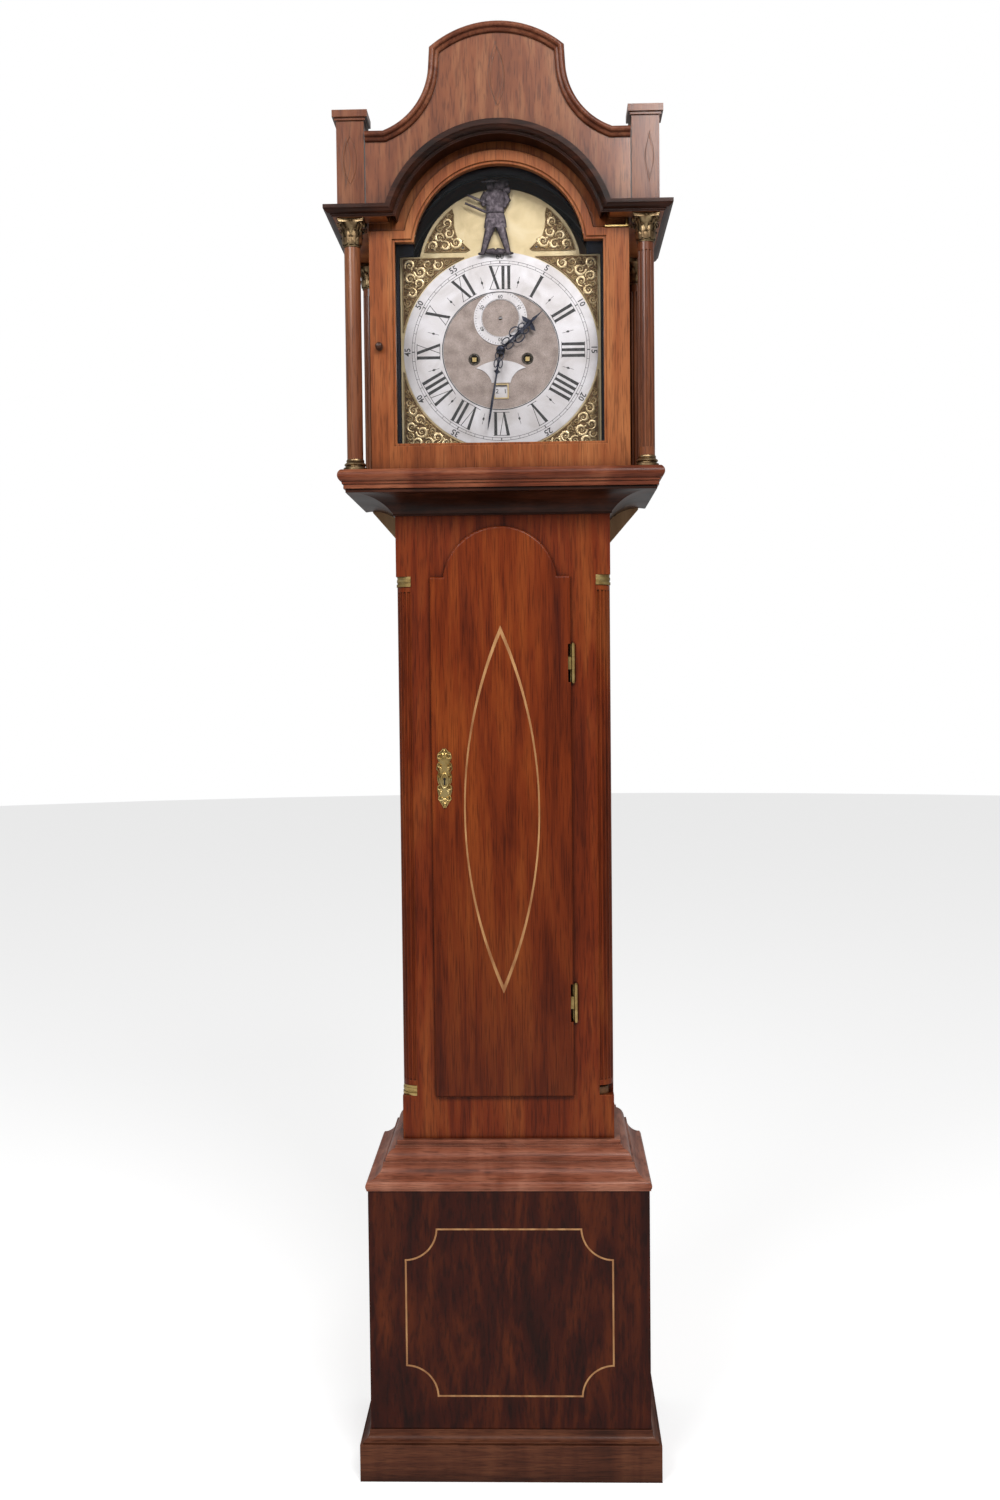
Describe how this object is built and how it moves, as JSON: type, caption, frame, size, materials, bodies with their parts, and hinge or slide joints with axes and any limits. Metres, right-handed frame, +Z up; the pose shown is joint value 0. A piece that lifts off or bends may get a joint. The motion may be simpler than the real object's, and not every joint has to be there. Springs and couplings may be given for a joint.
{
  "type": "longcase clock",
  "caption": "Tall mahogany floor clock with an arched brass dial, glazed sliding hood, hinged trunk door, weights, pendulum and striking movement.",
  "frame": {"origin": "on the floor, under the middle of the clock's overall box", "axes": "+Z up, +X to the right of someone facing the dial, -Y towards that viewer, +Y to the wall"},
  "size_m": [0.5028, 0.296, 2.15],
  "materials": {
    "mahogany": "polished reddish brown, fine straight grain",
    "figured_mahogany": "polished dark red-brown, flame figure",
    "stringing": "light boxwood line, polished",
    "carcase_wood": "bare aged softwood and oak",
    "glass": "clear polished sheet",
    "case_brass": "cast and turned, tarnished",
    "dial_brass": "lacquered, matted centre",
    "silvered_brass": "silvered brass, satin, engraved in black",
    "movement_brass": "polished, slightly dull",
    "bell_metal": "turned bronze",
    "blued_steel": "dark blued steel, polished",
    "steel": "dull grey steel",
    "pendulum_metal": "brass-faced bob on a steel rod",
    "lead": "dull grey cast weight",
    "gut": "twisted gut line",
    "knob_wood": "turned dark wood, polished",
    "pewter": "dark patinated cast metal"
  },
  "bodies": {
    "case": {"plinth_boards": "mahogany", "plinth_moulding": "mahogany", "base_boards": "figured_mahogany", "base_stringing": "stringing", "base_moulding": "mahogany", "backboard": "carcase_wood", "trunk_front_frame": "mahogany", "trunk_side_boards": "mahogany", "quarter_columns": "mahogany", "trunk_brass_fittings": "case_brass", "throat_moulding": "mahogany", "seatboard": "carcase_wood", "movement_plates": "movement_brass", "movement_pillars": "movement_brass", "bell": "bell_metal", "dial_plate": "dial_brass", "chapter_ring": "silvered_brass", "dial_small_plates": "silvered_brass", "dial_spandrels": "dial_brass"},
    "trunk_door": {"trunk_door": "figured_mahogany", "trunk_door_stringing": "stringing", "trunk_door_hinge_leaves": "case_brass", "trunk_door_escutcheon": "case_brass", "trunk_door_lock": "steel"},
    "lock_bolt": {"trunk_lock_bolt": "steel"},
    "hood": {"hood_frame": "mahogany", "hood_base_moulding": "mahogany", "hood_dial_mask": "carcase_wood", "hood_cornice": "mahogany", "hood_roof": "mahogany", "pediment_board": "figured_mahogany", "pediment_moulding": "mahogany", "finial_blocks": "mahogany", "hood_columns": "mahogany", "hood_column_brasses": "case_brass"},
    "hood_door": {"hood_door_frame": "figured_mahogany", "hood_door_glass": "glass", "hood_door_hinges": "case_brass"},
    "hood_knob": {"hood_door_knob": "knob_wood"},
    "centre": {"centre_arbor": "movement_brass", "minute_hand": "blued_steel"},
    "hour": {"hour_wheel": "movement_brass", "hour_hand": "blued_steel"},
    "minute_wheel": {"minute_wheel": "movement_brass"},
    "going_great_wheel": {"going_great_wheel": "movement_brass"},
    "third_wheel": {"third_wheel": "movement_brass"},
    "escape_wheel": {"escape_wheel": "movement_brass"},
    "going_barrel": {"going_barrel": "movement_brass"},
    "going_weight": {"going_weight": "lead", "going_line": "gut"},
    "strike_great_wheel": {"strike_great_wheel": "movement_brass"},
    "pin_wheel": {"pin_wheel": "movement_brass"},
    "strike_barrel": {"strike_barrel": "movement_brass"},
    "strike_weight": {"strike_weight": "lead", "strike_line": "gut"},
    "pendulum": {"pendulum": "pendulum_metal"},
    "pallets": {"pallet_arbor": "steel"},
    "figure": {"automaton_figure": "pewter"},
    "hammer": {"bell_hammer": "steel"},
    "date_ring": {"date_ring": "silvered_brass"}
  },
  "joints": [
    {"name": "trunk_door_hinge", "type": "hinge", "parent": "case", "child": "trunk_door", "pos_m": [0.1043, -0.0633, 1], "axis": [0, 0, 1], "range_deg": [0, 110]},
    {"name": "lock_bolt_slide", "type": "slide", "parent": "trunk_door", "child": "lock_bolt", "axis": [-1, 0, 0], "range_m": [0, 0.012]},
    {"name": "hood_slide", "type": "slide", "parent": "case", "child": "hood", "axis": [0, -1, 0], "range_m": [0, 0.3]},
    {"name": "hood_door_hinge", "type": "hinge", "parent": "hood", "child": "hood_door", "pos_m": [0.187, -0.105, 1.69], "axis": [0, 0, 1], "range_deg": [0, 90]},
    {"name": "hood_knob_turn", "type": "hinge", "parent": "hood_door", "child": "hood_knob", "pos_m": [-0.1764, -0.092, 1.6927], "axis": [0, 1, 0], "range_deg": [0, 90]},
    {"name": "centre_arbor_turn", "type": "hinge", "parent": "case", "child": "centre", "pos_m": [0, -0.002, 1.697], "axis": [0, 1, 0], "continuous": true},
    {"name": "hour_wheel_turn", "type": "hinge", "parent": "case", "child": "hour", "pos_m": [0, -0.012, 1.697], "axis": [0, 1, 0], "continuous": true},
    {"name": "minute_wheel_turn", "type": "hinge", "parent": "case", "child": "minute_wheel", "pos_m": [0, -0.007, 1.669], "axis": [0, 1, 0], "continuous": true},
    {"name": "going_great_wheel_turn", "type": "hinge", "parent": "case", "child": "going_great_wheel", "pos_m": [0.04, 0.0545, 1.685], "axis": [0, 1, 0], "continuous": true},
    {"name": "third_wheel_turn", "type": "hinge", "parent": "case", "child": "third_wheel", "pos_m": [0.00725, 0.031, 1.72321], "axis": [0, 1, 0], "continuous": true},
    {"name": "escape_wheel_turn", "type": "hinge", "parent": "case", "child": "escape_wheel", "pos_m": [0, 0.031, 1.7457], "axis": [0, 1, 0], "continuous": true},
    {"name": "going_weight_lift", "type": "slide", "parent": "case", "child": "going_weight", "axis": [0, 0, 1], "range_m": [0, 1.131], "deforming": ["going_line"]},
    {"name": "going_barrel_turn", "type": "hinge", "parent": "going_great_wheel", "child": "going_barrel", "pos_m": [0.04, 0.031, 1.685], "axis": [0, 1, 0], "range_deg": [0, 5762]},
    {"name": "strike_great_wheel_turn", "type": "hinge", "parent": "case", "child": "strike_great_wheel", "pos_m": [-0.04, 0.0055, 1.685], "axis": [0, 1, 0], "continuous": true},
    {"name": "pin_wheel_turn", "type": "hinge", "parent": "case", "child": "pin_wheel", "pos_m": [-0.04697, 0.031, 1.71926], "axis": [0, 1, 0], "continuous": true},
    {"name": "strike_weight_lift", "type": "slide", "parent": "case", "child": "strike_weight", "axis": [0, 0, 1], "range_m": [0, 1.131], "deforming": ["strike_line"]},
    {"name": "strike_barrel_turn", "type": "hinge", "parent": "strike_great_wheel", "child": "strike_barrel", "pos_m": [-0.04, 0.031, 1.685], "axis": [0, 1, 0], "range_deg": [0, 5762]},
    {"name": "pendulum_swing", "type": "hinge", "parent": "case", "child": "pendulum", "pos_m": [0, 0.098, 1.7726], "axis": [0, 1, 0], "range_deg": [-3, 3]},
    {"name": "pallets_rock", "type": "hinge", "parent": "case", "child": "pallets", "pos_m": [0, 0.031, 1.7726], "axis": [0, 1, 0], "range_deg": [-3, 3]},
    {"name": "figure_rock", "type": "hinge", "parent": "case", "child": "figure", "pos_m": [-0.0059, -0.055, 1.8465], "axis": [0, 1, 0], "range_deg": [-3, 3]},
    {"name": "hammer_lift", "type": "hinge", "parent": "case", "child": "hammer", "pos_m": [-0.07, 0.031, 1.758], "axis": [0, 1, 0], "range_deg": [-12, 0]},
    {"name": "date_ring_turn", "type": "hinge", "parent": "case", "child": "date_ring", "pos_m": [0, -0.043, 1.697], "axis": [0, 1, 0], "continuous": true}
  ],
  "couplings": [
    {"joint": "hour_wheel_turn", "follows": "centre_arbor_turn", "ratio": 0.083333},
    {"joint": "minute_wheel_turn", "follows": "centre_arbor_turn", "ratio": -1},
    {"joint": "going_great_wheel_turn", "follows": "centre_arbor_turn", "ratio": -0.083333},
    {"joint": "third_wheel_turn", "follows": "centre_arbor_turn", "ratio": -7.5},
    {"joint": "escape_wheel_turn", "follows": "centre_arbor_turn", "ratio": 60},
    {"joint": "pin_wheel_turn", "follows": "strike_great_wheel_turn", "ratio": -10.5},
    {"joint": "going_barrel_turn", "follows": "going_weight_lift", "rad_per_m": 88.889},
    {"joint": "strike_barrel_turn", "follows": "strike_weight_lift", "rad_per_m": 88.889},
    {"joint": "pallets_rock", "follows": "pendulum_swing", "ratio": 1},
    {"joint": "figure_rock", "follows": "pendulum_swing", "ratio": 1}
  ]
}
